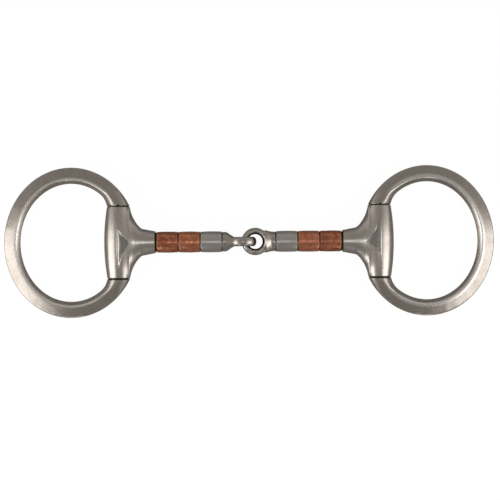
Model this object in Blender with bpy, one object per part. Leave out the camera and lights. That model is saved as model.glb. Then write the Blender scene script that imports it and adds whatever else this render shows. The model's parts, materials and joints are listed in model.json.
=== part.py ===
"""Eggbutt snaffle bit with flat rings, one centre joint and six rollers, in metres.

The bit lies flat. X runs along the mouthpiece, Y along the barrels and Z up, out of the flat rings.
The origin is under the centre joint, on the plane that the barrels rest on.

Both halves are alike: a barrel with a flared shoulder, a flat ring that swings in the barrel, and a
spindle that carries three rollers and ends in an eye. Each piece is drawn for the half that reaches
towards +X, and the left half is the same shapes turned half round Z. The two eyes are linked a
quarter turn apart.
"""

import math

import bmesh
import bpy
from mathutils import Vector

# Cheeks
MOUTH_WIDTH = 0.127  # between the two cheeks, at the ends of their barrels
BARREL_HEIGHT = 0.0384
BARREL_END_RADIUS = 0.006
BARREL_BELLY = 0.0016  # how far the barrel swells at mid height
BARREL_BORE = 0.006
BARREL_EDGE = 0.0003  # rounding of its two ends

# Shoulder, the flare from the barrel to the rollers
SHOULDER_LENGTH = 0.0198  # from the barrel's axis to the flat that faces the rollers
SHOULDER_RADIUS = 0.0057  # at that flat, and half its depth all the way
NECK_TAPER = 0.19  # growth of half its height for each unit back from the flat
FLARE_LENGTH = 0.0072  # the part where it sweeps out to the barrel's ends
FLARE_POWER = 1.5  # 2 is an elliptical sweep, lower is straighter
SOCKET_DEPTH = 0.0102  # for the spindle's tail

# Flat rings
RING_HEIGHT = 0.080
RING_REACH = 0.0608  # from the barrel's axis to the ring's outermost point
BAND_WIDTH = 0.0086
BAND_THICKNESS = 0.0055
BAND_EDGE = 0.001  # rounding of its outer side
RING_END_THICKNESS = 0.009  # where the ring meets the barrel
RING_END_LENGTH = 0.009  # height over which the band thickens to that
RING_END_SWEEP = 0.0045  # how softly the inner edge turns down to the barrel
RING_END_TUCK = 0.0004  # that sweep's own width at the seam
JOURNAL_LENGTH = 0.012
JOURNAL_ROOT = 0.003  # how far a journal reaches back into the ring's metal

# Spindles
SPINDLE_DIAMETER = 0.006
COLLAR_DIAMETER = 0.0109
COLLAR_LENGTH = 0.0014  # its full-width part
COLLAR_TAPER = 0.00205  # from its full-width part to the outside of the eye
WAIST_THICKNESS = 0.0047  # of the waist beside the eye, across the eye's plane
EYE_DIAMETER = 0.0146
EYE_HOLE = 0.0081
EYE_THICKNESS = 0.005
EYE_EDGE = 0.0014  # rounding of its rim
EYE_HOLE_EDGE = 0.0007
LINK_SLACK = 0.0014  # play between the two eyes along the mouthpiece

# Rollers
ROLLER_DIAMETER = 0.0109
ROLLER_EDGE = 0.0004
ROLLER_NAMES = ("steel_roller", "copper_roller_inner", "copper_roller_outer")  # from the centre out

# Cross pins
PIN_DIAMETER = 0.0025
PIN_PLACE = 0.0048  # from the shoulder's flat
PIN_GRIP = 0.0011  # how far the pin reaches into the socket's far wall
PIN_SINK = 0.0002  # from the shoulder's round to the pin's ground end

# Clearances
GAP = 0.0003  # between two pieces that touch, or that turn on each other
SHOULDER_GAP = 0.0006  # the rollers' spare play, next to the shoulder

# Fineness of the round shapes
ROUND_STEPS = 32
RING_STEPS = 44
BARREL_STEPS = 8
FLARE_STEPS = 8
TAPER_STEPS = 6
EDGE_STEPS = 2

# Places worked out from the sizes
barrel_place = MOUTH_WIDTH / 2 + BARREL_END_RADIUS
shoulder_place = barrel_place - SHOULDER_LENGTH
seam_height = BARREL_HEIGHT / 2 + GAP
eye_radius = EYE_DIAMETER / 2
eye_place = (EYE_HOLE - LINK_SLACK) / 2
fold_place = eye_place - (EYE_DIAMETER + EYE_HOLE) / 4  # the middle of the right eye's wire
collar_place = eye_place + eye_radius + COLLAR_TAPER + COLLAR_LENGTH  # the face that the rollers meet
axis_height = max(BARREL_END_RADIUS + BARREL_BELLY, eye_radius)  # of the mouthpiece, above the ground


def clear_scene():
    for old in list(bpy.data.objects):
        bpy.data.objects.remove(old)


def metal(name, colour, roughness):
    material = bpy.data.materials.new(name)
    material.use_nodes = True
    shader = material.node_tree.nodes["Principled BSDF"]
    shader.inputs["Base Color"].default_value = (*colour, 1)
    shader.inputs["Roughness"].default_value = roughness
    shader.inputs["Metallic"].default_value = 1
    return material


def smooth_step(value):
    value = min(max(value, 0), 1)
    return value * value * (3 - 2 * value)


def smooth_max(first, second, sweep):
    """The larger of two lengths, with the corner where they cross rounded over sweep."""
    share = max(sweep - abs(first - second), 0) / sweep
    return max(first, second) + share * share * sweep / 4


def arc(along, out, radius, start, end, steps=EDGE_STEPS):
    """Points (along, out) on an arc about a centre, its angles in degrees."""
    angles = [math.radians(start + (end - start) * i / steps) for i in range(steps + 1)]
    return [(along + radius * math.cos(a), out + radius * math.sin(a)) for a in angles]


def finished(name, bm, material):
    """An object from a bmesh. With no material it is a cutter, or a shape to be joined to a piece."""
    bmesh.ops.remove_doubles(bm, verts=bm.verts, dist=1e-6)
    bmesh.ops.recalc_face_normals(bm, faces=bm.faces)
    mesh = bpy.data.meshes.new(name)
    bm.to_mesh(mesh)
    bm.free()
    mesh.shade_smooth()
    mesh.set_sharp_from_angle(angle=math.radians(35))
    piece = bpy.data.objects.new(name, mesh)
    bpy.context.scene.collection.objects.link(piece)
    if material:
        mesh.materials.append(material)
    else:
        piece.hide_render = True
        piece.display_type = "WIRE"
    return piece


def turned(name, axis, profile, material=None, hollow=False):
    """A solid turned about an axis of its own frame, from (along, out) points.

    The profile of a solid starts and ends on the axis, and that of a hollow piece closes on itself.
    """
    along = Vector(axis)
    out = along.orthogonal().normalized()
    bm = bmesh.new()
    verts = [bm.verts.new(along * point[0] + out * point[1]) for point in profile]
    edges = [bm.edges.new(pair) for pair in zip(verts, verts[1:])]
    if hollow:
        edges.append(bm.edges.new((verts[-1], verts[0])))
    bmesh.ops.spin(
        bm, geom=verts + edges, cent=(0, 0, 0), axis=along, angle=math.tau, steps=ROUND_STEPS, use_merge=True
    )
    return finished(name, bm, material)


def rod(name, axis, start, end, diameter, material=None):
    radius = diameter / 2
    return turned(name, axis, [(start, 0), (start, radius), (end, radius), (end, 0)], material)


def lofted(name, sections, material=None):
    """A solid skinned over closed sections of equal point counts, flat at both ends."""
    bm = bmesh.new()
    loops = [[bm.verts.new(point) for point in section] for section in sections]
    for near, far in zip(loops, loops[1:]):
        for i in range(len(near)):
            bm.faces.new((near[i - 1], near[i], far[i], far[i - 1]))
    bm.faces.new(loops[0])
    bm.faces.new(loops[-1])
    return finished(name, bm, material)


def oval(x, half_height, half_depth):
    angles = [math.tau * i / ROUND_STEPS for i in range(ROUND_STEPS)]
    return [(x, half_height * math.cos(a), half_depth * math.sin(a)) for a in angles]


def place(piece, parent, location, turn=(0, 0, 0)):
    """Puts a piece at a place in the world, under an empty that isn't turned."""
    piece.parent = parent
    piece.location = Vector(location) - parent.location
    piece.rotation_euler = turn


def combine(piece, other, operation):
    """Joins another shape to a piece, or cuts it away, where both stand."""
    change = piece.modifiers.new(other.name, "BOOLEAN")
    change.operation = operation
    change.solver = "EXACT"
    change.object = other


def barrel_body(name, material):
    half = BARREL_HEIGHT / 2
    heights = [(half - BARREL_EDGE) * (2 * i / BARREL_STEPS - 1) for i in range(BARREL_STEPS + 1)]
    side = [(y, BARREL_END_RADIUS + BARREL_BELLY * (1 - (y / half) ** 2)) for y in heights]
    end_radius = BARREL_END_RADIUS - BARREL_EDGE
    profile = [(-half, 0), (-half, end_radius), *side, (half, end_radius), (half, 0)]
    return turned(name, (0, 1, 0), profile, material)


def shoulder_half_height(inboard):
    """Half the shoulder's height at a distance inboard of the barrel's axis."""
    flare_start = BARREL_END_RADIUS + FLARE_LENGTH
    neck = SHOULDER_RADIUS + NECK_TAPER * (SHOULDER_LENGTH - max(inboard, flare_start))
    share = min(max((flare_start - inboard) / FLARE_LENGTH, 0), 1)
    rise = BARREL_HEIGHT / 2 - BARREL_EDGE - neck
    return neck + rise * (1 - (1 - share**FLARE_POWER) ** (1 / FLARE_POWER))


def shoulder_shape(name):
    """The neck and its flare, from the flat that faces the rollers to a section inside the barrel."""
    flare_start = BARREL_END_RADIUS + FLARE_LENGTH
    shares = [math.sin(math.pi / 2 * i / FLARE_STEPS) for i in range(FLARE_STEPS + 1)]
    flare = [flare_start - FLARE_LENGTH * share for share in shares]
    inside_barrel = BARREL_END_RADIUS * 2 / 3
    stations = [SHOULDER_LENGTH, (SHOULDER_LENGTH + flare_start) / 2, *flare, inside_barrel]
    return lofted(name, [oval(-s, shoulder_half_height(s), SHOULDER_RADIUS) for s in stations])


def pin_hole(side, parent, sign):
    """The cutter of the cross pin's hole, from underneath to a blind end in the socket's far wall."""
    top = SPINDLE_DIAMETER / 2 + GAP + PIN_GRIP + GAP
    hole = rod(f"{side}_pin_hole", (0, 0, 1), -2 * SHOULDER_RADIUS, top, PIN_DIAMETER + 2 * GAP)
    place(hole, parent, (sign * (shoulder_place + PIN_PLACE), 0, axis_height))
    return hole


def make_barrel(side, parent, sign, turn, hole, material):
    barrel = barrel_body(f"{side}_barrel", material)
    shoulder = shoulder_shape(f"{side}_shoulder_shape")
    bore = rod(f"{side}_ring_bore", (0, 1, 0), -BARREL_HEIGHT, BARREL_HEIGHT, BARREL_BORE)
    socket_end = SOCKET_DEPTH - SHOULDER_LENGTH
    socket_diameter = SPINDLE_DIAMETER + 2 * GAP
    socket = rod(f"{side}_socket", (1, 0, 0), -2 * SHOULDER_LENGTH, socket_end, socket_diameter)
    for shape in (barrel, shoulder, bore, socket):
        place(shape, parent, (sign * barrel_place, 0, axis_height), turn)
    combine(barrel, shoulder, "UNION")
    for cutter in (bore, socket, hole):
        combine(barrel, cutter, "DIFFERENCE")


def band_section(outer, inner, thickness, roundness):
    """One section of a ring, between its outer and its inner edge.

    It has flat faces, a half-round inner side and a small round outside. A roundness of 1 turns it
    into an oval of the same width and thickness.
    """
    across = inner - outer
    width = across.length
    half = thickness / 2
    crown = arc(width - half, 0, half, 90, -90, 2 * EDGE_STEPS)
    lower = arc(BAND_EDGE, BAND_EDGE - half, BAND_EDGE, 270, 180)
    upper = arc(BAND_EDGE, half - BAND_EDGE, BAND_EDGE, 180, 90)
    section = []
    for along, out in crown + lower + upper:
        angle = math.atan2(out / half, 2 * along / width - 1)
        along += (width / 2 * (1 + math.cos(angle)) - along) * roundness
        out += (half * math.sin(angle) - out) * roundness
        section.append(outer + across * (along / width) + Vector((0, 0, out)))
    return section


def ring_sections():
    """Sections of a ring from its upper seam, round the outside, to its lower seam.

    The outer edge is an oval that starts at the rim of the barrel's end. The inner edge follows it a
    band's width inside, and turns down to the barrel's other rim near the seams.
    """
    outer_up = RING_HEIGHT / 2
    seam_share = math.sqrt(1 - (seam_height / outer_up) ** 2)
    outer_across = (RING_REACH + BARREL_END_RADIUS) / (1 + seam_share)
    centre = RING_REACH - outer_across
    inner_up, inner_across = outer_up - BAND_WIDTH, outer_across - BAND_WIDTH
    outer_start = math.asin(seam_height / outer_up)
    inner_start = math.asin(seam_height / inner_up)
    sections = []
    for i in range(RING_STEPS + 1):
        share = i / RING_STEPS
        outer_angle = outer_start + (math.tau - 2 * outer_start) * share
        inner_angle = inner_start + (math.tau - 2 * inner_start) * share
        outer = Vector((centre - outer_across * math.cos(outer_angle), outer_up * math.sin(outer_angle), 0))
        inner = Vector((centre - inner_across * math.cos(inner_angle), inner_up * math.sin(inner_angle), 0))
        near_end = 0
        if inner.x < centre:
            near_end = smooth_step(1 - (abs(inner.y) - seam_height) / RING_END_LENGTH)
            inner.x = smooth_max(inner.x, BARREL_END_RADIUS - RING_END_TUCK, RING_END_SWEEP)
        thickness = BAND_THICKNESS + (RING_END_THICKNESS - BAND_THICKNESS) * near_end
        sections.append(band_section(outer, inner, thickness, near_end))
    return sections


def make_ring(side, parent, sign, turn, material):
    ring = lofted(f"{side}_cheek_ring", ring_sections(), material)
    place(ring, parent, (sign * barrel_place, 0, axis_height), turn)
    for end, direction in (("upper", 1), ("lower", -1)):
        start, stop = seam_height - JOURNAL_LENGTH, seam_height + JOURNAL_ROOT
        journal = rod(f"{side}_{end}_journal", (0, direction, 0), start, stop, BARREL_BORE - 2 * GAP)
        place(journal, parent, (sign * barrel_place, 0, axis_height), turn)
        combine(ring, journal, "UNION")


def spindle_sections():
    """Sections from inside the eye, through the waist and the collar, to the end of the tail."""
    collar, thin, tail = COLLAR_DIAMETER / 2, WAIST_THICKNESS / 2, SPINDLE_DIAMETER / 2
    waist = eye_place + EYE_HOLE / 2
    waist_width = math.sqrt(eye_radius**2 - (waist - eye_place) ** 2)
    collar_start = collar_place - COLLAR_LENGTH
    sections = [oval((eye_place + waist) / 2, waist_width, thin)]
    for i in range(TAPER_STEPS + 1):
        grown = smooth_step(i / TAPER_STEPS)
        x = waist + (collar_start - waist) * i / TAPER_STEPS
        sections.append(oval(x, waist_width + (collar - waist_width) * grown, thin + (collar - thin) * grown))
    tail_end = shoulder_place + SOCKET_DEPTH - GAP
    sections += [oval(collar_place, collar, collar), oval(collar_place, tail, tail), oval(tail_end, tail, tail)]
    return sections


def eye_blank(name):
    half = EYE_THICKNESS / 2
    lower = arc(EYE_EDGE - half, eye_radius - EYE_EDGE, EYE_EDGE, 180, 90)
    upper = arc(half - EYE_EDGE, eye_radius - EYE_EDGE, EYE_EDGE, 90, 0)
    return turned(name, (0, 0, 1), [(-half, 0), *lower, *upper, (half, 0)])


def eye_hole(name):
    """The cutter of the eye's hole, waisted so that it leaves the hole's edges round."""
    half = EYE_THICKNESS / 2
    flared = EYE_HOLE / 2 + EYE_HOLE_EDGE
    lower = arc(EYE_HOLE_EDGE - half, flared, EYE_HOLE_EDGE, 180, 270)
    upper = arc(half - EYE_HOLE_EDGE, flared, EYE_HOLE_EDGE, 270, 360)
    far = EYE_THICKNESS
    return turned(name, (0, 0, 1), [(-far, 0), (-far, flared), *lower, *upper, (far, flared), (far, 0)])


def make_spindle(side, parent, sign, turn, hole, material):
    spindle = lofted(f"{side}_spindle", spindle_sections(), material)
    blank = eye_blank(f"{side}_eye_blank")
    opening = eye_hole(f"{side}_eye_hole")
    place(spindle, parent, (0, 0, axis_height), turn)
    for shape in (blank, opening):
        place(shape, parent, (sign * eye_place, 0, axis_height), turn)
    combine(spindle, blank, "UNION")
    combine(spindle, opening, "DIFFERENCE")
    combine(spindle, hole, "DIFFERENCE")


def make_rollers(side, parent, sign, materials):
    """Three rollers of one shape, which share the length between the collar and the shoulder."""
    count = len(ROLLER_NAMES)
    pitch = (shoulder_place - SHOULDER_GAP - collar_place) / count
    half = (pitch - GAP) / 2
    radius = ROLLER_DIAMETER / 2
    bore = SPINDLE_DIAMETER / 2 + GAP
    inner_end = arc(ROLLER_EDGE - half, radius - ROLLER_EDGE, ROLLER_EDGE, 180, 90)
    outer_end = arc(half - ROLLER_EDGE, radius - ROLLER_EDGE, ROLLER_EDGE, 90, 0)
    profile = [(-half, bore), *inner_end, *outer_end, (half, bore)]
    for i, name in enumerate(ROLLER_NAMES):
        roller = turned(f"{side}_{name}", (1, 0, 0), profile, materials[name], hollow=True)
        x = collar_place + GAP + half + pitch * i
        place(roller, parent, (sign * x, 0, axis_height))


def make_cross_pin(side, parent, sign, material):
    bottom = PIN_SINK - SHOULDER_RADIUS
    top = SPINDLE_DIAMETER / 2 + GAP + PIN_GRIP
    pin = rod(f"{side}_cross_pin", (0, 0, 1), bottom, top, PIN_DIAMETER, material)
    place(pin, parent, (sign * (shoulder_place + PIN_PLACE), 0, axis_height))


def make_half(side, sign, centre, materials):
    """All pieces of one half, under an empty. Its spindle's turn decides which way the eye lies."""
    parent = bpy.data.objects.new(f"{side}_half", None)
    parent.location = (centre, 0, axis_height)
    bpy.context.scene.collection.objects.link(parent)
    facing = (0, 0, 0) if sign > 0 else (0, 0, math.pi)
    eye_turn = (0, 0, 0) if sign > 0 else (math.pi / 2, 0, math.pi)
    hole = pin_hole(side, parent, sign)
    make_barrel(side, parent, sign, facing, hole, materials["satin_steel"])
    make_ring(side, parent, sign, facing, materials["satin_steel"])
    make_spindle(side, parent, sign, eye_turn, hole, materials["satin_steel"])
    make_rollers(side, parent, sign, materials)
    make_cross_pin(side, parent, sign, materials["pin_steel"])


def make_bit():
    copper = metal("copper", (0.62, 0.27, 0.17), 0.35)
    materials = {
        "satin_steel": metal("satin_steel", (0.48, 0.45, 0.42), 0.35),
        "pin_steel": metal("pin_steel", (0.5, 0.5, 0.5), 0.4),
        "steel_roller": metal("roller_steel", (0.42, 0.42, 0.42), 0.3),
        "copper_roller_inner": copper,
        "copper_roller_outer": copper,
    }
    make_half("left", -1, 0, materials)
    make_half("right", 1, fold_place, materials)


clear_scene()
make_bit()
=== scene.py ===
import json
import math

import bmesh
import bpy
import numpy as np
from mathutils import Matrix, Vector, noise


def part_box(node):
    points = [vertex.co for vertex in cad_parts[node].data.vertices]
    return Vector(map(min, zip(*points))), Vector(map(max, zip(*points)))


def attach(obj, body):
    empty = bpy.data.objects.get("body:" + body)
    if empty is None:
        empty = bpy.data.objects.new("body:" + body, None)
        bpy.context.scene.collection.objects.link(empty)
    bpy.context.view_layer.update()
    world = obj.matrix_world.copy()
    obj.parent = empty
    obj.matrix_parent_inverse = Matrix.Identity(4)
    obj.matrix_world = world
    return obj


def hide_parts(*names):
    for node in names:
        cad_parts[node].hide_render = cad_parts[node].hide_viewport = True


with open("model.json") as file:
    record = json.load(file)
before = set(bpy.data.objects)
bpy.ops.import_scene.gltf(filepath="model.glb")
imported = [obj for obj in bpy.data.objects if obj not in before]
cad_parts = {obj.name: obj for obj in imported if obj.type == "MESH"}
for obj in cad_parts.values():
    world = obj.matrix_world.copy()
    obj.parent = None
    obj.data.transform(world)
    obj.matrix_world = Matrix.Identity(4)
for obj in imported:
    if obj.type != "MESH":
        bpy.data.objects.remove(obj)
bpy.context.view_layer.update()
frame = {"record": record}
scene = bpy.context.scene
scene.view_settings.view_transform = "Standard"

# Where the pieces are, read from the frame. The right half is built, and the left is the same,
# turned half round Z.
barrelLow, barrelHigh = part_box("right_barrel")
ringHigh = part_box("right_cheek_ring")[1]
spindleLow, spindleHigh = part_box("right_spindle")
axisHeight = (barrelLow.z + barrelHigh.z) / 2
barrelRadius = (barrelHigh.z - barrelLow.z) / 2
barrelPlace = barrelHigh.x - barrelRadius
shoulderPlace = barrelLow.x
barrelHalf = barrelHigh.y
eyeRadius = (spindleHigh.y - spindleLow.y) / 2
eyePlace = spindleLow.x + eyeRadius
halves = {"left": -1, "right": 1}
bodyOf = {node: body for body, nodes in frame["record"]["behaviour"]["bodies"].items() for node in nodes}
weldDistance = 2e-6


# mesh work that every piece uses

def smoothStep(value):
    value = np.clip(value, 0, 1)
    return value * value * (3 - 2 * value)


def smoothMin(first, second, reach):
    # the smaller of two distances, with the corner between them filled over reach
    share = np.maximum(reach - np.abs(first - second), 0) / reach
    return np.minimum(first, second) - share * share * reach / 4


def smoothMax(first, second, reach):
    return -smoothMin(-first, -second, reach)


def ovalDistance(across, deep, halfAcross, halfDeep, power=2.0):
    # how far a point is outside an oval, close to the oval. A higher power makes the oval squarer.
    a, b = np.abs(across) / halfAcross, np.abs(deep) / halfDeep
    share = (a**power + b**power + 1e-12) ** (1 / power)
    slope = np.sqrt((a ** (power - 1) / halfAcross) ** 2 + (b ** (power - 1) / halfDeep) ** 2) + 1e-9
    return (share - 1) * share ** (power - 1) / slope


def gradient(field, points, step=1e-5):
    shifts = np.eye(3) * step
    return np.stack([(field(points + s) - field(points - s)) / (2 * step) for s in shifts], 1)


def bend(field, points, step=1.5e-4):
    # how sharply the surface curves, in 1/m: positive on a ridge, negative in a hollow
    middle = field(points)
    total = sum(field(points + s) + field(points - s) - 2 * middle for s in np.eye(3) * step)
    return total / step**2


def ontoSurface(field, points, rounds=4):
    for _ in range(rounds):
        slope = gradient(field, points)
        points = points - slope * (field(points) / (slope**2).sum(1))[:, None]
    return points


def skinOf(field, low, high, step, relaxing=6):
    # quads over the surface where the field is zero: a point for each cell that it crosses,
    # and a quad for each grid edge
    starts = [a - 1.37 * step for a in low]  # so that no grid plane lies on a flat end
    axes = [np.arange(a, b + 2 * step, step) for a, b in zip(starts, high)]
    grid = np.stack(np.meshgrid(*axes, indexing="ij"), -1)
    inside = (field(grid.reshape(-1, 3)) < 0).reshape(grid.shape[:3])
    near, far = slice(None, -1), slice(1, None)
    filled = sum(inside[a, b, c].astype(int) for a in (near, far) for b in (near, far) for c in (near, far))
    crossed = (filled > 0) & (filled < 8)
    index = np.full(crossed.shape, -1)
    index[crossed] = np.arange(crossed.sum())
    points = grid[:-1, :-1, :-1][crossed] + step / 2
    quads = []
    for axis in range(3):
        values = np.moveaxis(inside, axis, 0)
        cells = np.moveaxis(index, axis, 0)
        enters, leaves = values[:-1] & ~values[1:], ~values[:-1] & values[1:]
        for mask, order in ((enters, 1), (leaves, -1)):
            i, j, k = np.nonzero(mask[:, 1:-1, 1:-1])
            ring = [cells[i, j, k], cells[i, j + 1, k], cells[i, j + 1, k + 1], cells[i, j, k + 1]]
            quads.append(np.stack(ring[::order], 1))
    quads = np.concatenate(quads)
    edges = np.concatenate([quads[:, [0, 1]], quads[:, [1, 2]], quads[:, [2, 3]], quads[:, [3, 0]]])
    points = ontoSurface(field, points)
    for _ in range(relaxing):
        total, count = np.zeros_like(points), np.zeros(len(points))
        np.add.at(total, edges[:, 0], points[edges[:, 1]])
        np.add.at(count, edges[:, 0], 1)
        points = ontoSurface(field, (points + total / count[:, None]) / 2, rounds=2)
    return points, quads


def turnedSkin(profile, steps, closed):
    # quads of a shape turned about X, from (along, out) points. A profile that isn't closed
    # starts and ends on the axis.
    profile = np.array(profile)
    angles = np.arange(steps) * math.tau / steps
    rows = [
        np.stack([np.full(steps, along), out * np.cos(angles), out * np.sin(angles)], 1)
        for along, out in profile
    ]
    points = np.concatenate(rows)
    count = len(profile)
    pairs = [(i, (i + 1) % count) for i in range(count if closed else count - 1)]
    quads = []
    for here, there in pairs:
        for i in range(steps):
            after = (i + 1) % steps
            quads.append((here * steps + i, here * steps + after, there * steps + after, there * steps + i))
    return points, np.array(quads)


def arcPoints(centre, radius, start, end, steps):
    angles = np.radians(np.linspace(start, end, steps + 1))
    return [(centre[0] + radius * math.cos(a), centre[1] + radius * math.sin(a)) for a in angles]


def meshObject(name, points, faces, masks=None):
    # an object with its origin at the frame's, and one float attribute for each mask
    mesh = bpy.data.meshes.new(name)
    mesh.from_pydata([tuple(p) for p in points], [], [tuple(int(i) for i in f) for f in faces])
    for key, values in (masks or {}).items():
        kept = mesh.attributes.new(key, "FLOAT", "POINT")
        kept.data.foreach_set("value", np.clip(values, 0, 1).astype(np.float32))
    bm = bmesh.new()
    bm.from_mesh(mesh)
    bmesh.ops.remove_doubles(bm, verts=bm.verts, dist=weldDistance)
    bmesh.ops.recalc_face_normals(bm, faces=bm.faces)
    bm.to_mesh(mesh)
    bm.free()
    mesh.shade_smooth()
    piece = bpy.data.objects.new(name, mesh)
    scene.collection.objects.link(piece)
    return piece


def combine(piece, other, operation):
    # joins another shape to the piece or cuts it away, and removes the other
    change = piece.modifiers.new(other.name, "BOOLEAN")
    change.operation = operation
    change.solver = "EXACT"
    change.object = other
    graph = bpy.context.evaluated_depsgraph_get()
    joined = bpy.data.meshes.new_from_object(piece.evaluated_get(graph))
    piece.modifiers.clear()
    piece.data = joined
    bpy.data.objects.remove(other)


def shadeAndGrimeNear(distance, strength, fade):
    # the mask of grime and painted shade beside a seam
    return strength - distance / fade


def facing(points, sign):
    # the right half's points, or the same turned half round Z
    return points * np.array([sign, sign, 1])


def rod(name, start, end, radius, axis, centre, steps=48, chamfer=0, seam=0):
    # a turned rod between two places along one axis, through a centre
    profile = [(start, 0), (start, radius - chamfer), (start + chamfer, radius)]
    profile += [(end - chamfer, radius), (end, radius - chamfer), (end, 0)]
    points, quads = turnedSkin(profile, steps, False)
    order = {"X": (0, 1, 2), "Y": (2, 0, 1), "Z": (1, 2, 0)}[axis]
    return meshObject(name, points[:, order] + np.array(centre), quads, {"seam": np.full(len(points), seam)})


def finishPiece(piece, node, slot, material, sharp=40):
    # the piece stands for its node, rides on that node's body and takes its material
    piece.name = node + "_fine"
    piece.data.materials.clear()
    piece.data.materials.append(material)
    piece.data.shade_smooth()
    piece.data.set_sharp_from_angle(angle=math.radians(sharp))
    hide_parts(node)
    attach(piece, bodyOf[node])


# nodes of any kind

def setInputs(node, values):
    for key, value in values.items():
        node.inputs[key].default_value = value


def addNode(tree, kind, place, operation=None, **values):
    node = tree.nodes.new(kind)
    node.location = place
    if operation:
        node.operation = operation
    setInputs(node, values)
    return node


# camera, floor and light

cameraSettings = {
    "lens": 135,
    "sensor": 36,
    "frameWidth": 0.2663,  # seen at the mouthpiece's height
    "target": (0.0005, -0.0045),
    "roll": 0.42,  # degrees
}


def makeCamera(settings):
    camera = bpy.data.cameras.new("camera")
    camera.lens = settings["lens"]
    camera.sensor_width = settings["sensor"]
    distance = settings["frameWidth"] * settings["lens"] / settings["sensor"]
    holder = bpy.data.objects.new("camera", camera)
    holder.location = (*settings["target"], axisHeight + distance)
    holder.rotation_euler = (0, 0, math.radians(-settings["roll"]))
    scene.collection.objects.link(holder)
    scene.camera = holder


floorSettings = {
    "half": 4.0,
    "glow": 0.96,  # what the camera sees without any shadow
    "pale": 0.1,  # how much of the light it throws back to the camera
    "dim": 0.4,  # how much of it the steel sees
}

worldSettings = {
    "cameraGlow": 1.0,
    "low": 0.28,  # brightness near the horizon
    "high": 0.23,  # and overhead
    "tint": (1.0, 0.965, 0.93),
    "sideLift": 1.0,  # how much brighter it is towards both sides
    "backLift": 0.27,  # and towards +Y than towards -Y
}

panels = {
    "leftPanel": {
        "place": (-0.203, -0.074, 0.094),
        "aim": (-0.0242, -0.074, 0.004),
        "size": (0.19, 0.165),
        "glow": 1.6,
    },
    "rightPanel": {
        "place": (0.2225, -0.064, 0.13),
        "aim": (0.0539, -0.064, 0.0224),
        "size": (0.17, 0.195),
        "glow": 1.45,
    },
    "overheadStrip": {
        "place": (0.0, -0.022, 0.6),
        "aim": (0.0, -0.022, 0.0),
        "size": (0.19, 0.036),
        "glow": 3.2,
    },
    "leftFront": {
        "place": (-0.12, -0.26, 0.12),
        "aim": (-0.22, -0.18, 0.08),
        "size": (0.12, 0.15),
        "glow": 1.2,
    },
    "rightFront": {
        "place": (0.12, -0.26, 0.12),
        "aim": (0.22, -0.18, 0.08),
        "size": (0.12, 0.15),
        "glow": 1.2,
    },
}


def makeFloor(settings):
    reach = settings["half"]
    corners = [(-reach, -reach, 0), (reach, -reach, 0), (reach, reach, 0), (-reach, reach, 0)]
    floor = meshObject("floor", corners, [(0, 1, 2, 3)])
    material = bpy.data.materials.new("paleFloor")
    material.use_nodes = True
    tree = material.node_tree
    tree.nodes.clear()
    out = addNode(tree, "ShaderNodeOutputMaterial", (600, 0))
    mix = addNode(tree, "ShaderNodeMixShader", (400, 0))
    path = addNode(tree, "ShaderNodeLightPath", (0, 300))
    glow = addNode(tree, "ShaderNodeEmission", (0, 0), Strength=settings["glow"])
    pale = addNode(tree, "ShaderNodeBsdfDiffuse", (0, -150), Color=(*[settings["pale"]] * 3, 1))
    seen = addNode(tree, "ShaderNodeAddShader", (200, 0))
    dim = addNode(tree, "ShaderNodeBsdfDiffuse", (0, -300), Color=(*[settings["dim"]] * 3, 1))
    tree.links.new(glow.outputs[0], seen.inputs[0])
    tree.links.new(pale.outputs[0], seen.inputs[1])
    tree.links.new(path.outputs["Is Camera Ray"], mix.inputs[0])
    tree.links.new(dim.outputs[0], mix.inputs[1])
    tree.links.new(seen.outputs[0], mix.inputs[2])
    tree.links.new(mix.outputs[0], out.inputs[0])
    floor.data.materials.append(material)


def makeWorld(settings):
    world = bpy.data.worlds.new("studio")
    scene.world = world
    world.use_nodes = True
    tree = world.node_tree
    tree.nodes.clear()
    out = addNode(tree, "ShaderNodeOutputWorld", (900, 0))
    mix = addNode(tree, "ShaderNodeMixShader", (700, 0))
    path = addNode(tree, "ShaderNodeLightPath", (500, 300))
    seen = addNode(tree, "ShaderNodeBackground", (500, -150), Strength=settings["cameraGlow"])
    room = addNode(tree, "ShaderNodeBackground", (500, 0))
    where = addNode(tree, "ShaderNodeTexCoord", (-300, 0))
    parts = addNode(tree, "ShaderNodeSeparateXYZ", (-100, 0))
    height = addNode(tree, "ShaderNodeMapRange", (100, 0))
    setInputs(height, {"To Min": settings["low"], "To Max": settings["high"]})
    setInputs(room, {"Color": (*settings["tint"], 1)})
    sideways = addNode(tree, "ShaderNodeMath", (0, -250), operation="POWER")
    setInputs(sideways, {1: 2.0})
    lift = addNode(tree, "ShaderNodeMath", (150, -250), operation="MULTIPLY_ADD")
    setInputs(lift, {1: settings["sideLift"], 2: 1.0})
    backwards = addNode(tree, "ShaderNodeMath", (250, -400), operation="MULTIPLY_ADD")
    setInputs(backwards, {1: settings["backLift"]})
    level = addNode(tree, "ShaderNodeMath", (300, 0), operation="MULTIPLY")
    tree.links.new(where.outputs["Generated"], parts.inputs[0])
    tree.links.new(parts.outputs["Z"], height.inputs["Value"])
    tree.links.new(parts.outputs["X"], sideways.inputs[0])
    tree.links.new(sideways.outputs[0], lift.inputs[0])
    tree.links.new(height.outputs[0], level.inputs[0])
    tree.links.new(parts.outputs["Y"], backwards.inputs[0])
    tree.links.new(lift.outputs[0], backwards.inputs[2])
    tree.links.new(backwards.outputs[0], level.inputs[1])
    tree.links.new(level.outputs[0], room.inputs["Strength"])
    tree.links.new(path.outputs["Is Camera Ray"], mix.inputs[0])
    tree.links.new(room.outputs[0], mix.inputs[1])
    tree.links.new(seen.outputs[0], mix.inputs[2])
    tree.links.new(mix.outputs[0], out.inputs[0])


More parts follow.
